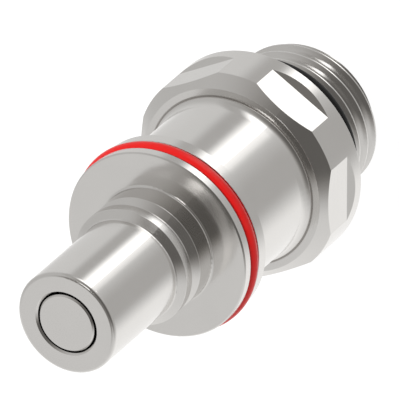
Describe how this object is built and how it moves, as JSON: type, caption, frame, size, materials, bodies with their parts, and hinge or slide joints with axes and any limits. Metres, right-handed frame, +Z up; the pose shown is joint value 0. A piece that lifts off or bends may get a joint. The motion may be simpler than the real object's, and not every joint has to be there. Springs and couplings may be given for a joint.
{
  "type": "liquid cooling quick coupling",
  "caption": "Plug half of a flush-face quick coupling: smooth nose with spring-shut valve, ball-lock neck, flange, hexagon and threaded port end.",
  "frame": {"origin": "centre of the end face of the thread, on the plug's axis, where the plug stands", "axes": "+Z up the axis from the threaded end to the nose; +X through the middle of one flat of the hexagon"},
  "size_m": [0.0202, 0.0202, 0.0427],
  "materials": {
    "body_steel": "fine turned",
    "adaptor_steel": "turned, with milled flats",
    "valve_steel": "fine turned",
    "guide_steel": "milled",
    "spring_steel": "drawn wire",
    "red_rubber": "satin",
    "black_rubber": "satin",
    "bush_plastic": "machined"
  },
  "bodies": {
    "plug": {"plug_body": "body_steel", "adaptor": "adaptor_steel", "colour_ring": "red_rubber", "port_seal": "black_rubber", "joint_seal": "black_rubber", "valve_guide": "guide_steel", "guide_bush": "bush_plastic", "guide_circlip": "spring_steel", "valve_spring": "spring_steel"},
    "valve": {"valve_head": "valve_steel", "valve_stem": "valve_steel", "valve_seal": "black_rubber"}
  },
  "joints": [
    {"name": "valve_slide", "type": "slide", "parent": "plug", "child": "valve", "axis": [0, 0, -1], "range_m": [0, 0.005], "stiffness_N_per_m": 1000, "springref_m": -0.004, "deforming": ["valve_spring"]}
  ]
}
